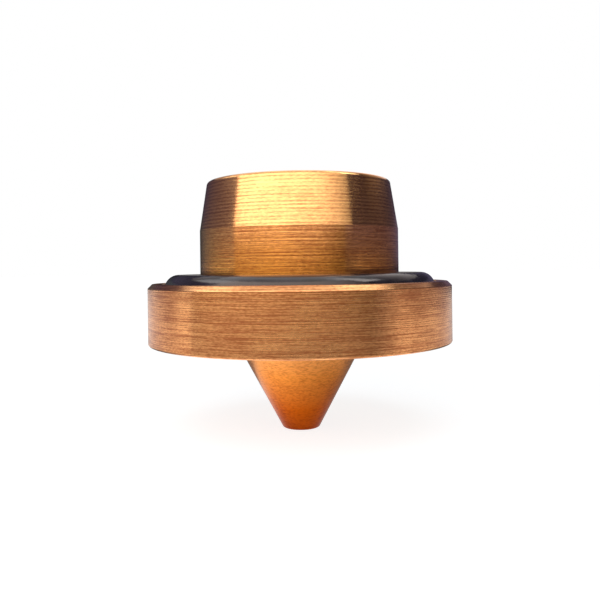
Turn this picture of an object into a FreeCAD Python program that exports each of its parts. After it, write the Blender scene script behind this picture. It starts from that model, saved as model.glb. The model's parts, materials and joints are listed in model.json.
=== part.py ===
import FreeCAD
import Part
import math
import os

# Nozzle for a plasma torch: one turned copper body and one rubber sealing ring.
#
# The body is a solid of revolution about Z. A thick round flange carries, above it, a hub that plugs
# into the torch head: straight at its foot, where it locates, and tapered above to lead it in. Below
# the flange a blunt cone ends at the tip. A straight chamber runs down through the hub, narrows in a
# funnel whose wall lies parallel to the cone, and leaves through the orifice in the tip.
# The ring lies in a groove in the flange's upper face, around the hub's foot, and stands a little
# proud of that face, so that the torch head squeezes it.
#
# Millimetres and degrees. The origin is on the axis, at the height of the flange's upper face, which
# is the seating plane. +Z points into the torch head and the jet leaves along -Z.

# hub
HUB_DIAMETER = 18.5
HUB_STRAIGHT_HEIGHT = 4.8
HUB_TAPER_HEIGHT = 4.5
HUB_TAPER_ANGLE = 9.0  # of the wall from the axis
HUB_TOP_ROUNDING = 0.35

# sealing ring and its groove
RING_SECTION = 2.5  # diameter of the cord
RING_PROUD = 0.8  # what stands above the seating plane
GROOVE_LAND = 0.6  # flat between the hub and the groove
GROOVE_SIDE_GAP = 0.15  # between the ring and each wall of the groove
GROOVE_CORNER_ROUNDING = 0.3

# flange
FLANGE_THICKNESS = 5.5
FLANGE_LAND = 1.35  # width of the upper face outside the groove, bevel included
FLANGE_TOP_BEVEL = 0.4
FLANGE_BOTTOM_ROUNDING = 0.2

# cone
CONE_ANGLE = 56.0  # included
CONE_LENGTH = 8.1
TIP_DIAMETER = 3.4
TIP_ROUNDING = 0.25
CONE_ROOT_ROUNDING = 0.2

# passage
HUB_WALL = 3.05  # around the straight chamber
CHAMBER_MOUTH_BEVEL = 0.5
ORIFICE_DIAMETER = 1.6
ORIFICE_LENGTH = 2.4

# heights along the axis
SEAT = 0.0
TAPER_FOOT = SEAT + HUB_STRAIGHT_HEIGHT
HUB_TOP = TAPER_FOOT + HUB_TAPER_HEIGHT
GROOVE_FLOOR = SEAT + RING_PROUD - RING_SECTION
FLANGE_BOTTOM = SEAT - FLANGE_THICKNESS
TIP = FLANGE_BOTTOM - CONE_LENGTH
ORIFICE_TOP = TIP + ORIFICE_LENGTH

# radii
HUB_RADIUS = HUB_DIAMETER / 2
HUB_TOP_RADIUS = HUB_RADIUS - HUB_TAPER_HEIGHT * math.tan(math.radians(HUB_TAPER_ANGLE))
GROOVE_INNER_RADIUS = HUB_RADIUS + GROOVE_LAND
GROOVE_OUTER_RADIUS = GROOVE_INNER_RADIUS + RING_SECTION + 2 * GROOVE_SIDE_GAP
RING_MEAN_RADIUS = (GROOVE_INNER_RADIUS + GROOVE_OUTER_RADIUS) / 2
FLANGE_RADIUS = GROOVE_OUTER_RADIUS + FLANGE_LAND
CONE_SLOPE = math.tan(math.radians(CONE_ANGLE / 2))
TIP_RADIUS = TIP_DIAMETER / 2
CONE_ROOT_RADIUS = TIP_RADIUS + CONE_LENGTH * CONE_SLOPE
CHAMBER_RADIUS = HUB_RADIUS - HUB_WALL
ORIFICE_RADIUS = ORIFICE_DIAMETER / 2
FUNNEL_TOP = ORIFICE_TOP + (CHAMBER_RADIUS - ORIFICE_RADIUS) / CONE_SLOPE

AXIS_POINT = FreeCAD.Vector(0, 0, 0)
AXIS = FreeCAD.Vector(0, 0, 1)
FULL_TURN = 360

SHARP = ("sharp", 0.0)


def rounded(radius):
    """A corner blended by a tangent arc of this radius."""
    return ("rounded", radius)


def bevelled(leg):
    """A corner cut off by this much along each of its sides."""
    return ("bevelled", leg)


def corner(before, point, after, finish):
    """The edge that finishes a corner, with the points where it starts and ends."""
    kind, size = finish
    to_before = (before - point).normalize()
    to_after = (after - point).normalize()
    half_angle = to_before.getAngle(to_after) / 2
    leg = size / math.tan(half_angle) if kind == "rounded" else size
    start = point + to_before * leg
    end = point + to_after * leg
    if kind == "sharp":
        return None, point, point
    if kind == "bevelled":
        return Part.LineSegment(start, end).toShape(), start, end
    inwards = (to_before + to_after).normalize()
    middle = point + inwards * (size / math.sin(half_angle) - size)
    return Part.Arc(start, middle, end).toShape(), start, end


def profile_face(outline):
    """The flat face inside a closed outline of (radius, height, finish of that corner)."""
    points = [FreeCAD.Vector(radius, 0, height) for radius, height, _ in outline]
    count = len(points)
    corners = [
        corner(points[i - 1], points[i], points[(i + 1) % count], outline[i][2])
        for i in range(count)
    ]
    edges = []
    for i, (edge, _, leaves) in enumerate(corners):
        if edge:
            edges.append(edge)
        arrives = corners[(i + 1) % count][1]
        edges.append(Part.LineSegment(leaves, arrives).toShape())
    return Part.Face(Part.Wire(edges))


def nozzle_body():
    """The turned body: its half section, from the orifice round the outside and back down the bore."""
    orifice_and_tip = [
        (ORIFICE_RADIUS, TIP, SHARP),
        (TIP_RADIUS, TIP, rounded(TIP_ROUNDING)),
        (CONE_ROOT_RADIUS, FLANGE_BOTTOM, rounded(CONE_ROOT_ROUNDING)),
    ]
    flange = [
        (FLANGE_RADIUS, FLANGE_BOTTOM, rounded(FLANGE_BOTTOM_ROUNDING)),
        (FLANGE_RADIUS, SEAT, bevelled(FLANGE_TOP_BEVEL)),
    ]
    groove = [
        (GROOVE_OUTER_RADIUS, SEAT, SHARP),
        (GROOVE_OUTER_RADIUS, GROOVE_FLOOR, rounded(GROOVE_CORNER_ROUNDING)),
        (GROOVE_INNER_RADIUS, GROOVE_FLOOR, rounded(GROOVE_CORNER_ROUNDING)),
        (GROOVE_INNER_RADIUS, SEAT, SHARP),
    ]
    hub = [
        (HUB_RADIUS, SEAT, SHARP),
        (HUB_RADIUS, TAPER_FOOT, SHARP),
        (HUB_TOP_RADIUS, HUB_TOP, rounded(HUB_TOP_ROUNDING)),
    ]
    passage = [
        (CHAMBER_RADIUS, HUB_TOP, bevelled(CHAMBER_MOUTH_BEVEL)),
        (CHAMBER_RADIUS, FUNNEL_TOP, SHARP),
        (ORIFICE_RADIUS, ORIFICE_TOP, SHARP),
    ]
    half_section = profile_face(orifice_and_tip + flange + groove + hub + passage)
    return half_section.revolve(AXIS_POINT, AXIS, FULL_TURN)


def seal_ring():
    """The round-section sealing ring, resting on the groove's floor midway between its walls."""
    centre = FreeCAD.Vector(0, 0, GROOVE_FLOOR + RING_SECTION / 2)
    return Part.makeTorus(RING_MEAN_RADIUS, RING_SECTION / 2, centre, AXIS)


PARTS = {
    "nozzle_body": nozzle_body,
    "seal_ring": seal_ring,
}

os.makedirs("parts", exist_ok=True)
for name, make in PARTS.items():
    solid = make()
    if solid.ShapeType != "Solid" or not solid.isValid():
        raise ValueError(f"{name} isn't a valid solid")
    solid.exportStep(os.path.join("parts", f"{name}.step"))
    size = solid.optimalBoundingBox()
    print(f"{name}: {size.XLength:.2f} x {size.YLength:.2f} x {size.ZLength:.2f} mm, {solid.Volume:.1f} mm3")
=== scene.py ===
import json
import math
import random

import bpy
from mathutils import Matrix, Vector


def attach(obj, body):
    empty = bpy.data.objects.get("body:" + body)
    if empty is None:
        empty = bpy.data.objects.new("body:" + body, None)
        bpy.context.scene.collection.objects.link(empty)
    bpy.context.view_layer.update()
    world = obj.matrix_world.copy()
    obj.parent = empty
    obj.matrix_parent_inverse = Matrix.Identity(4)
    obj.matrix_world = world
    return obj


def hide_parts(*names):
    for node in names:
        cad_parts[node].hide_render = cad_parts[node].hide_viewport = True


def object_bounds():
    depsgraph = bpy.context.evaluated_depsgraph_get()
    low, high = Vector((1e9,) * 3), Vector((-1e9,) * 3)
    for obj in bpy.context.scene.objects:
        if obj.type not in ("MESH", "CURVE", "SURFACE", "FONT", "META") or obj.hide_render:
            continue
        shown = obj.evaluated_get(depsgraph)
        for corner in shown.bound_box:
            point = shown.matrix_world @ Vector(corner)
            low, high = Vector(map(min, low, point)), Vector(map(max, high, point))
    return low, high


# A turned copper torch nozzle with a rubber sealing ring, held by its hub over a pale floor.
# Metres, in the frame of the CAD: the axis is Z, the seating plane is z = 0 and the tip points down.
# Azimuths are in degrees round the axis from the side of the camera (-Y), positive towards +X.

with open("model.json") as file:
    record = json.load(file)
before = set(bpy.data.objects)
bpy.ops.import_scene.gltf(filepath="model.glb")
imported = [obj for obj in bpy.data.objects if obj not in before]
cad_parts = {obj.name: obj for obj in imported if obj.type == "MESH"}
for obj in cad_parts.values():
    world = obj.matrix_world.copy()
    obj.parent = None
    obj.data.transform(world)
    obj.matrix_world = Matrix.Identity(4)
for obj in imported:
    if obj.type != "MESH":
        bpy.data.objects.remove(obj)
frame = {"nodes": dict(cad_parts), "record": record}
cad_low, cad_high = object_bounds()

MM = 0.001
MOUNTS = {mount["name"]: mount for mount in frame["record"]["mounts"]}
UNDERSIDE = MOUNTS["flange_underside"]["pos_m"][2]
TAPER_FOOT = MOUNTS["hub"]["dims"]["length_mm"] * MM
CHAMBER_RADIUS = MOUNTS["chamber"]["dims"]["r_mm"] * MM
TIP = cad_low.z

# the lathe
TURNS = 144  # faces round the axis
EDGE_BREAK = 0.05 * MM  # what is taken off an edge that the drawing leaves sharp
EDGE_STEPS = 3
HUB_FEED = 0.3 * MM  # what the tool moves along in one turn
FLANGE_FEED = 0.17 * MM
TAPER_SLOPE = 0.07  # of the sides of a mark of middling depth
FOOT_SLOPE = 0.05
FLANGE_SLOPE = 0.13
MARK_DEPTHS = (0.6, 1.4)  # of the shallowest and the deepest mark, where 1 is a mark of middling depth
FEED_ROWS = 4  # in each mark
SHORTEST_TURNED_RUN = 1.0 * MM
STRAIGHT_TURN = math.radians(0.5)  # the most that an outline turns at a point along a straight run
ROUND_TURN = math.radians(5)  # the most that it turns at a point along a round


# ---------------------------------------------------------------- the turned body

def meridian(node):
    """The closed outline (radius, height) in which the half-plane of +X cuts a turned CAD node."""
    mesh = node.data
    on_plane = {
        v.index: (round(v.co.x, 7), round(v.co.z, 7))
        for v in mesh.vertices
        if abs(v.co.y) < 1e-9 and v.co.x > 0
    }
    neighbours = {}
    for edge in mesh.edges:
        a, b = (on_plane.get(i) for i in edge.vertices)
        if a and b and a != b:
            neighbours.setdefault(a, set()).add(b)
            neighbours.setdefault(b, set()).add(a)
    start = min(neighbours, key=lambda p: (p[1], p[0]))
    outline = [start]
    following = max(neighbours[start])  # outwards along the tip, so that the outside is on the right
    while following != start:
        outline.append(following)
        following = next(p for p in neighbours[following] if p != outline[-2])
    return [Vector(p) for p in outline]


def turning(before, point, after):
    """The angle by which an outline turns at a point."""
    return (point - before).angle_signed(after - point)


def corners_only(outline):
    """The outline without the points that lie along a straight run."""
    count = len(outline)
    return [
        outline[i]
        for i in range(count)
        if abs(turning(outline[i - 1], outline[i], outline[(i + 1) % count])) > STRAIGHT_TURN
    ]


def with_broken_edges(outline):
    """The outline with each sharp corner between two long runs taken off by a small round."""
    count = len(outline)
    result = []
    for i, point in enumerate(outline):
        before, after = outline[i - 1], outline[(i + 1) % count]
        sharp = abs(turning(before, point, after)) > ROUND_TURN
        room = min((point - before).length, (after - point).length) > 4 * EDGE_BREAK
        if not (sharp and room):
            result.append(point)
            continue
        start = point + (before - point).normalized() * EDGE_BREAK
        end = point + (after - point).normalized() * EDGE_BREAK
        for step in range(EDGE_STEPS + 1):
            t = step / EDGE_STEPS
            result.append(start * (1 - t) ** 2 + point * 2 * t * (1 - t) + end * t ** 2)
    return result


def tool_marks(start, end):
    """The feed and the slope of the tool marks on a run of the outline, or None where it has none."""
    lower, upper = sorted((start.y, end.y))
    in_passage = max(start.x, end.x) <= CHAMBER_RADIUS + 2 * EDGE_BREAK
    on_cone = lower <= UNDERSIDE - EDGE_BREAK
    if (end - start).length < SHORTEST_TURNED_RUN or in_passage or on_cone:
        return None
    if upper <= EDGE_BREAK:
        return FLANGE_FEED, FLANGE_SLOPE
    if lower < EDGE_BREAK:
        return HUB_FEED, FOOT_SLOPE
    return HUB_FEED, TAPER_SLOPE


def with_feed_marks(outline):
    """The outline with the tool marks cut into it as shallow uneven waves."""
    chatter = random.Random(3)
    count = len(outline)
    result = []
    for i, start in enumerate(outline):
        end = outline[(i + 1) % count]
        result.append(start)
        cut = tool_marks(start, end)
        if cut is None:
            continue
        feed, slope = cut
        length = (end - start).length
        along = (end - start) / length
        inwards = Vector((-along.y, along.x))
        marks = round(length / feed)
        depth = slope * length / marks / math.pi  # at which a wave's sides have that slope
        for mark in range(marks):
            uneven = depth * chatter.uniform(*MARK_DEPTHS)
            for row in range(1, FEED_ROWS + 1):
                wave = (1 - math.cos(math.tau * row / FEED_ROWS)) / 2
                place = start + along * (length * (mark + row / FEED_ROWS) / marks)
                result.append(place + inwards * uneven * wave)
        result.pop()
    return result


def outline_normals(outline):
    """At each point the outward normal, in which the longer of the two runs weighs more."""
    count = len(outline)
    normals = []
    for i in range(count):
        run = (outline[i] - outline[i - 1]) + (outline[(i + 1) % count] - outline[i])
        normals.append(Vector((run.y, -run.x)).normalized())
    return normals


def finish_at(radius, height):
    """0 on the taper and in the passage, 1 on the hub's straight foot, 2 on the flange, 3 on the cone."""
    if radius < CHAMBER_RADIUS:
        return 3 if height < UNDERSIDE else 0
    if height > TAPER_FOOT:
        return 0
    return 1 if height > 0 else 2


def lathe(name, outline):
    """A mesh turned from an outline, with the material slot of each face after its finish."""
    rows = len(outline)
    spokes = [(math.cos(math.tau * k / TURNS), math.sin(math.tau * k / TURNS)) for k in range(TURNS)]

    def turned(points):
        return [(c * p.x, s * p.x, p.y) for c, s in spokes for p in points]

    faces = []
    finishes = []
    for k in range(TURNS):
        here, there = k * rows, (k + 1) % TURNS * rows
        for i in range(rows):
            j = (i + 1) % rows
            faces.append((here + i, there + i, there + j, here + j))
            middle = (outline[i] + outline[j]) / 2
            finishes.append(finish_at(middle.x, middle.y))
    mesh = bpy.data.meshes.new(name)
    mesh.from_pydata(turned(outline), [], faces)
    mesh.polygons.foreach_set("material_index", finishes)
    mesh.polygons.foreach_set("use_smooth", [True] * len(faces))
    mesh.normals_split_custom_set_from_vertices(turned(outline_normals(outline)))
    piece = bpy.data.objects.new(name, mesh)
    bpy.context.scene.collection.objects.link(piece)
    return piece


# ---------------------------------------------------------------- materials

class Nodes:
    """A few words for building a node tree."""

    def __init__(self, owner):
        owner.use_nodes = True
        self.tree = owner.node_tree
        self.tree.nodes.clear()

    def add(self, kind, settings=None, **inputs):
        """A new node. An input that a socket is given for is linked to it, and any other is set."""
        node = self.tree.nodes.new(kind)
        for key, value in (settings or {}).items():
            setattr(node, key, value)
        for key, value in inputs.items():
            self.put(node.inputs[key.replace("_", " ")], value)
        return node

    def put(self, socket, value):
        if isinstance(value, bpy.types.NodeSocket):
            self.tree.links.new(value, socket)
        else:
            socket.default_value = value

    def math(self, operation, *values):
        node = self.add("ShaderNodeMath", {"operation": operation})
        for socket, value in zip(node.inputs, values):
            self.put(socket, value)
        return node.outputs[0]

    def span(self, value, low, high, to_low, to_high, kind="LINEAR"):
        """The value brought from low..high to to_low..to_high, and held at their ends outside it."""
        node = self.add("ShaderNodeMapRange", {"interpolation_type": kind})
        for socket, number in zip(node.inputs, (value, low, high, to_low, to_high)):
            self.put(socket, number)
        return node.outputs[0]

    def blend(self, factor, one, other, kind="MIX"):
        node = self.add("ShaderNodeMix", {"data_type": "RGBA", "blend_type": kind})
        self.put(node.inputs[0], factor)
        self.put(node.inputs[6], one)
        self.put(node.inputs[7], other)
        return node.outputs[2]

    def noise(self, vector, scale, detail=2.0, roughness=0.5, w=None):
        settings = {"noise_dimensions": "3D" if w is None else "4D"}
        node = self.add("ShaderNodeTexNoise", settings, Vector=vector, Scale=scale, Detail=detail,
                        Roughness=roughness)
        if w is not None:
            self.put(node.inputs["W"], w)
        return node.outputs[0]


def from_axis(nodes, parts):
    """The distance of a place from the Z axis, from the separate parts of its coordinates."""
    squares = [nodes.math("POWER", part, 2.0) for part in (parts[0], parts[1])]
    return nodes.math("SQRT", nodes.math("ADD", *squares))


def turned_noise(nodes, along_mark, across_mark, detail=2.0, roughness=0.5):
    """Noise drawn out round the axis, as a tool leaves it: the lengths of its marks along and across."""
    place = nodes.add("ShaderNodeTexCoord").outputs["Object"]
    parts = nodes.add("ShaderNodeSeparateXYZ", Vector=place).outputs
    outwards = nodes.math("MULTIPLY", from_axis(nodes, parts), 1 / across_mark)
    stretched = nodes.add("ShaderNodeCombineXYZ")
    for axis, mark in enumerate((along_mark, along_mark, across_mark)):
        nodes.put(stretched.inputs[axis], nodes.math("MULTIPLY", parts[axis], 1 / mark))
    return nodes.noise(stretched.outputs[0], 1.0, detail, roughness, w=outwards)


# the clean metal's colours at some heights, from below upwards; the cone's colours are painted darker
# towards the tip, as painted shade
LOWER_CONE = TIP * 0.75 + UNDERSIDE * 0.25
UPPER_CONE = TIP * 0.35 + UNDERSIDE * 0.65
CONE_TONES = [(TIP, (0.42, 0.065, 0.003, 1)), (LOWER_CONE, (0.62, 0.12, 0.004, 1)),
              (UPPER_CONE, (0.90, 0.31, 0.05, 1)), (UNDERSIDE, (0.97, 0.44, 0.14, 1))]
FLANGE_TONES = [(0, (0.92, 0.43, 0.17, 1))]
HUB_TONES = [(0.25 * TAPER_FOOT, (0.97, 0.42, 0.10, 1)), (TAPER_FOOT, (0.97, 0.455, 0.18, 1))]
TAPER_TONES = [(TAPER_FOOT, (0.95, 0.48, 0.18, 1))]
TARNISH_AND_SHADE = (0.50, 0.36, 0.34, 1)  # by which the clean metal's colour is multiplied where it is tarnished, and where painted shade darkens the feed marks' valleys


def copper(name, tones, roughness, lines, speckle, valley_shade=0.0):
    """Turned copper: reflections drawn out across the tool marks, with a faint uneven tarnish.

    tones are pairs of a height and the clean metal's colour there. lines and speckle are the
    strengths of the tool's fine marks and of the spots between them, and valley_shade how much darker
    the metal is painted at the bottom of the hub's feed marks, as painted shade of their grooves.
    """
    material = bpy.data.materials.new(name)
    nodes = Nodes(material)
    place = nodes.add("ShaderNodeTexCoord").outputs["Object"]
    marks = turned_noise(nodes, 60 * MM, 0.09 * MM, detail=1.0)
    hairlines = turned_noise(nodes, 2.5 * MM, 0.05 * MM, detail=1.0)
    patches = nodes.noise(place, 1 / (4 * MM), detail=3.0, roughness=0.55)
    grains = turned_noise(nodes, 0.3 * MM, 0.1 * MM)

    height = nodes.add("ShaderNodeSeparateXYZ", Vector=place).outputs[2]
    colour = tones[0][1]
    for (low, _), (high, tone) in zip(tones, tones[1:]):
        colour = nodes.blend(nodes.span(height, low, high, 0.0, 1.0), colour, tone)
    clouds = nodes.noise(place, 1 / (2.2 * MM), detail=2.0)
    fading = nodes.span(clouds, 0.35, 0.65, 0.6 * lines, lines)
    tarnish = nodes.span(patches, 0.35, 0.7, 0.0, 0.28, "SMOOTHSTEP")
    dull_marks = nodes.math("MULTIPLY", nodes.span(marks, 0.4, 0.66, 0.0, 0.5), fading)
    dull_and_shade = nodes.math("ADD", tarnish, dull_marks)
    dull_and_shade = nodes.math("ADD", dull_and_shade, nodes.span(hairlines, 0.36, 0.64, -0.15 * lines, 0.45 * lines))
    dull_and_shade = nodes.math("ADD", dull_and_shade, nodes.span(grains, 0.3, 0.7, -0.3 * speckle, 0.3 * speckle))
    # painted shade: the metal is darker at the bottom of the hub's feed marks, where their grooves would
    # shade it
    turn = nodes.math("COSINE", nodes.math("MULTIPLY", height, math.tau / HUB_FEED))
    dull_and_shade = nodes.math("ADD", dull_and_shade, nodes.span(turn, -1.0, 1.0, valley_shade, -valley_shade))
    dull_and_shade = nodes.math("MINIMUM", nodes.math("MAXIMUM", dull_and_shade, 0.0), 1.0)
    colour = nodes.blend(1.0, colour, nodes.blend(dull_and_shade, (1, 1, 1, 1), TARNISH_AND_SHADE), "MULTIPLY")

    rough = nodes.math("ADD", nodes.span(patches, 0.3, 0.7, -0.04, 0.05),
                       nodes.span(hairlines, 0.3, 0.7, roughness - 0.03, roughness + 0.03))
    grooves = nodes.math("ADD", nodes.math("MULTIPLY", marks, 0.7), nodes.math("MULTIPLY", hairlines, 0.6))
    relief = nodes.math("ADD", nodes.math("MULTIPLY", grooves, lines),
                        nodes.math("MULTIPLY", grains, 0.25 * speckle))
    bump = nodes.add("ShaderNodeBump", Strength=1.0, Distance=0.006 * MM, Height=relief)
    tangent = nodes.add("ShaderNodeTangent", {"direction_type": "RADIAL", "axis": "Z"})
    metal = nodes.add("ShaderNodeBsdfPrincipled", Base_Color=colour, Metallic=1.0, Roughness=rough,
                      Anisotropic=0.85, Anisotropic_Rotation=0.25, Tangent=tangent.outputs[0],
                      Normal=bump.outputs[0])
    nodes.add("ShaderNodeOutputMaterial", Surface=metal.outputs[0])
    return material


def sealing_rubber():
    """Black moulded rubber, greased, with a slight bloom and a fine grain."""
    material = bpy.data.materials.new("sealing_rubber")
    nodes = Nodes(material)
    place = nodes.add("ShaderNodeTexCoord").outputs["Object"]
    bloom = nodes.noise(place, 1 / (2.5 * MM), detail=4.0, roughness=0.6)
    grain = nodes.noise(place, 1 / (0.09 * MM), detail=2.0)
    waves = nodes.noise(place, 1 / (1.3 * MM), detail=2.0)
    bloomed = nodes.span(bloom, 0.35, 0.7, 0.0, 1.0)
    colour = nodes.blend(bloomed, (0.005, 0.004, 0.006, 1), (0.022, 0.018, 0.027, 1))
    rough = nodes.span(bloom, 0.3, 0.7, 0.12, 0.24)
    relief = nodes.math("ADD", grain, nodes.math("MULTIPLY", waves, 24.0))
    bump = nodes.add("ShaderNodeBump", Strength=1.0, Distance=0.0015 * MM, Height=relief)
    # its reflections are tinted warm, a painted reflection of the copper beside it
    rubber = nodes.add("ShaderNodeBsdfPrincipled", Base_Color=colour, Roughness=rough, IOR=1.65,
                       Specular_Tint=(1.0, 0.79, 0.68, 1), Normal=bump.outputs[0])
    nodes.add("ShaderNodeOutputMaterial", Surface=rubber.outputs[0])
    return material


# ---------------------------------------------------------------- the studio

def seen_directly(nodes):
    """1 for what the camera sees, straight or in gloss or glass, and 0 for the light that falls."""
    path = nodes.add("ShaderNodeLightPath").outputs
    seen = nodes.math("MAXIMUM", path["Is Camera Ray"], path["Is Glossy Ray"])
    return nodes.math("MAXIMUM", seen, path["Is Transmission Ray"])


FILL_LIGHT = 0.2  # of the world, beside the 1 that the camera sees
FLOOR_WIDTH = 3.0
TENT_RADIUS = 48 * MM
PANEL_STEPS = 24  # faces along each side of a panel
CAMERA_DISTANCE = 62.1 * MM  # from the axis
CAMERA_HEIGHT = 1.33 * MM  # over the seating plane
CAMERA_ROLL = math.radians(0.73)


def white_world():
    """A world that looks white, though it gives little light."""
    world = bpy.data.worlds.new("world")
    bpy.context.scene.world = world
    nodes = Nodes(world)
    strength = nodes.span(seen_directly(nodes), 0.0, 1.0, FILL_LIGHT, 1.0)
    background = nodes.add("ShaderNodeBackground", Color=(1, 1, 1, 1), Strength=strength)
    nodes.add("ShaderNodeOutputWorld", Surface=background.outputs[0])


def glowing(name, colour, strength_of):
    """A material that only glows. strength_of(nodes, object coordinates) gives how strongly."""
    material = bpy.data.materials.new(name)
    nodes = Nodes(material)
    place = nodes.add("ShaderNodeTexCoord").outputs["Object"]
    glow = nodes.add("ShaderNodeEmission", Color=colour, Strength=strength_of(nodes, place))
    nodes.add("ShaderNodeOutputMaterial", Surface=glow.outputs[0])
    return material


def staged(name, points, faces, material):
    """A piece of the studio, which belongs to no part of the object."""
    mesh = bpy.data.meshes.new(name)
    mesh.from_pydata(points, [], faces)
    mesh.materials.append(material)
    piece = bpy.data.objects.new(name, mesh)
    bpy.context.scene.collection.objects.link(piece)
    return piece


def white_floor():
    """Pale paper, white to the camera.

    The metal sees it brightest on the left below the cone, and in front below the rim: there painted light
    and painted shade glow on it, seen only in reflections.
    """
    material = bpy.data.materials.new("floor_white")
    nodes = Nodes(material)
    place = nodes.add("ShaderNodeTexCoord").outputs["Object"]
    parts = nodes.add("ShaderNodeSeparateXYZ", Vector=place).outputs
    away = from_axis(nodes, parts)
    path = nodes.add("ShaderNodeLightPath").outputs
    to_camera = nodes.span(away, 20 * MM, 90 * MM, 0.85, 1.0, "SMOOTHSTEP")
    # painted light and painted shade on the floor, which only the metal's reflections see
    below_cone = nodes.span(parts[0], -8 * MM, 8 * MM, 1.2, 0.25)
    in_front = nodes.span(parts[1], -6 * MM, 5 * MM, 1.8, 0.15)
    below_rim = nodes.span(away, 12 * MM, 14 * MM, below_cone, in_front)
    to_metal = nodes.span(away, 16 * MM, 20 * MM, below_rim, nodes.math("MULTIPLY", in_front, 0.25))
    by_camera = nodes.math("MAXIMUM", path["Is Camera Ray"], path["Is Transmission Ray"])
    to_camera = nodes.math("MULTIPLY", to_camera, by_camera)
    to_metal = nodes.math("MULTIPLY", to_metal, path["Is Glossy Ray"])
    paper = nodes.add("ShaderNodeBsdfDiffuse", Color=(0.30, 0.31, 0.32, 1))
    glow = nodes.add("ShaderNodeEmission", Color=(1, 1, 1, 1),
                     Strength=nodes.math("ADD", to_camera, to_metal))
    both = nodes.add("ShaderNodeAddShader")
    nodes.put(both.inputs[0], paper.outputs[0])
    nodes.put(both.inputs[1], glow.outputs[0])
    nodes.add("ShaderNodeOutputMaterial", Surface=both.outputs[0])
    half = FLOOR_WIDTH / 2
    points = [(-half, -half, TIP), (half, -half, TIP), (half, half, TIP), (-half, half, TIP)]
    staged("floor", points, [(0, 1, 2, 3)], material)


def tent_panel(name, azimuths, elevations, strengths, tint, lights=False):
    """Part of the light tent round the object. Its glow runs evenly from its first azimuth to its last.

    The camera doesn't see it, and unless it lights, only the metal and the rubber do.
    """
    points = []
    for i in range(PANEL_STEPS + 1):
        azimuth = math.radians(azimuths[0] + (azimuths[1] - azimuths[0]) * i / PANEL_STEPS)
        for j in range(PANEL_STEPS + 1):
            elevation = math.radians(elevations[0] + (elevations[1] - elevations[0]) * j / PANEL_STEPS)
            level = TENT_RADIUS * math.cos(elevation)
            height = TENT_RADIUS * math.sin(elevation)
            points.append((level * math.sin(azimuth), -level * math.cos(azimuth), height))
    row = PANEL_STEPS + 1
    faces = []
    for i in range(PANEL_STEPS):
        for j in range(PANEL_STEPS):
            a = i * row + j
            faces.append((a, a + 1, a + row + 1, a + row))

    def strength(nodes, place):
        x, y, _ = nodes.add("ShaderNodeSeparateXYZ", Vector=place).outputs
        azimuth = nodes.math("ARCTAN2", x, nodes.math("MULTIPLY", y, -1.0))
        return nodes.span(azimuth, *(math.radians(a) for a in azimuths), *strengths)

    panel = staged(name, points, faces, glowing(name, tint, strength))
    panel.visible_camera = False
    panel.visible_diffuse = lights
    panel.visible_shadow = lights


def add_camera():
    """The camera, which stands close in front, level, just above the seating plane and a little askew."""
    camera = bpy.data.objects.new("camera", bpy.data.cameras.new("camera"))
    bpy.context.scene.collection.objects.link(camera)
    camera.data.sensor_width = 36
    camera.data.lens = 39.5
    camera.data.shift_x = 0.0009
    camera.data.shift_y = -0.054
    camera.data.clip_start = 0.001
    camera.data.clip_end = 10
    camera.location = (0.0, -CAMERA_DISTANCE, CAMERA_HEIGHT)
    camera.rotation_euler = (math.radians(90), CAMERA_ROLL, 0)
    bpy.context.scene.camera = camera


# ---------------------------------------------------------------- the scene

# the tints of the light
WHITE = (1.0, 0.95, 0.93, 1)
GOLD = (1.0, 1.0, 0.97, 1)
AMBER = (1.12, 0.92, 0.52, 1)
COOL = (0.92, 1.02, 1.08, 1)
VIOLET = (0.82, 0.72, 1.2, 1)
# the elevations of the light that each part reflects to the camera
RIM_BAND = (-16, -1.5)
FOOT_BAND = (-1.5, 13)
TAPER_BAND = (13, 52)

white_world()
white_floor()
# what the rim of the flange sees
tent_panel("low_left", (-180, -72), RIM_BAND, (0.6, 1.4), WHITE)
tent_panel("low_front_left", (-72, 0), RIM_BAND, (0.75, 0.2), WHITE)
tent_panel("low_front_right", (0, 45), RIM_BAND, (0.21, 0.1), WHITE)
tent_panel("low_right", (45, 66), (-16, -3), (0.15, 1.5), WHITE)
tent_panel("low_back_right", (66, 180), (-16, -3), (1.3, 0.3), WHITE)
# what the straight foot of the hub sees
tent_panel("middle_left", (-155, -70), FOOT_BAND, (0.0, 0.46), COOL)
tent_panel("middle_front_left", (-70, -20), FOOT_BAND, (0.46, 0.78), AMBER)
tent_panel("middle_front_right", (-20, 47), FOOT_BAND, (0.78, 0.15), AMBER)
tent_panel("middle_right", (47, 155), (2, 13), (0.2, 0.14), VIOLET)
tent_panel("foot_right", (47, 155), (-3, 2), (0.03, 0.02), VIOLET)
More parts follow.
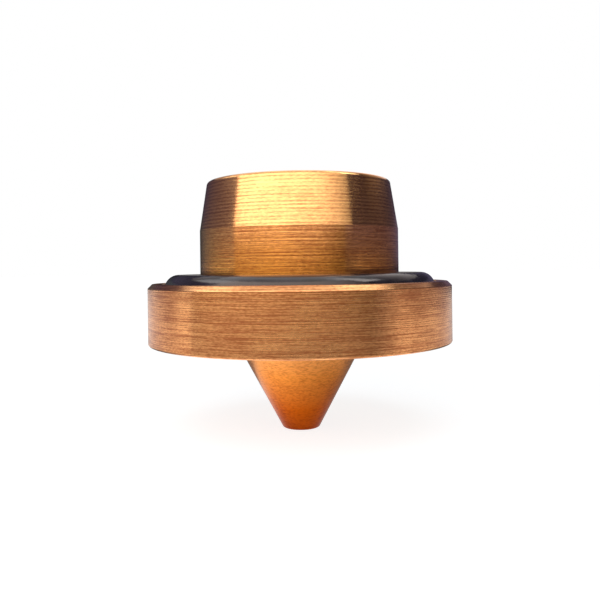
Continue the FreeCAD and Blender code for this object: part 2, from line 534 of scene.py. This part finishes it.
# what the taper sees
tent_panel("key", (-71, 18), TAPER_BAND, (2.65, 2.2), GOLD, lights=True)
tent_panel("key_right", (18, 38), TAPER_BAND, (2.2, 1.25), GOLD, lights=True)
tent_panel("key_end", (38, 56), TAPER_BAND, (1.25, 0.45), GOLD, lights=True)
tent_panel("high_left", (-155, -71), (13, 34), (0.04, 0.26), VIOLET)
tent_panel("high_right", (56, 82), (13, 41), (0.09, 0.08), VIOLET)
tent_panel("high_far_right", (82, 155), (13, 27), (0.08, 0.07), VIOLET)
tent_panel("behind_left", (-180, -155), (-1.5, 34), (0.8, 0.2), WHITE)
tent_panel("behind_right", (155, 180), (-3, 27), (0.1, 0.8), WHITE)
# what the bevel, the ring and the upper faces see
tent_panel("lamp_left", (-110, -71), (36, 50), (1.2, 3.2), COOL, lights=True)
tent_panel("lamp_right", (56, 82), (41, 70), (5.0, 2.3), COOL, lights=True)
tent_panel("bevel_left", (-180, -110), (34, 50), (0.7, 0.45), WHITE)
tent_panel("bevel_right", (82, 180), (27, 55), (0.08, 1.6), WHITE)
tent_panel("upper_front", (-71, 56), (52, 70), (0.8, 1.5), COOL, lights=True)
tent_panel("upper_left", (-180, -71), (50, 70), (1.4, 1.3), COOL, lights=True)
tent_panel("upper_right", (82, 180), (55, 70), (0.6, 1.2), COOL, lights=True)
tent_panel("zenith", (-180, 180), (70, 90), (1.4, 1.6), COOL, lights=True)
add_camera()
bpy.context.scene.view_settings.view_transform = "Standard"

corners = corners_only(meridian(frame["nodes"]["nozzle_body"]))
body = lathe("turned_body", with_feed_marks(with_broken_edges(corners)))
for finish in (
    copper("taper_copper", TAPER_TONES, 0.18, lines=0.7, speckle=0.9, valley_shade=0.28),
    copper("hub_copper", HUB_TONES, 0.18, lines=1.2, speckle=1.0, valley_shade=0.05),
    copper("flange_copper", FLANGE_TONES, 0.28, lines=1.3, speckle=1.2),
    copper("cone_copper", CONE_TONES, 0.36, lines=0.3, speckle=1.5),
):
    body.data.materials.append(finish)
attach(body, "root")
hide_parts("nozzle_body")

ring = frame["nodes"]["seal_ring"]
ring.data.materials.clear()
ring.data.materials.append(sealing_rubber())
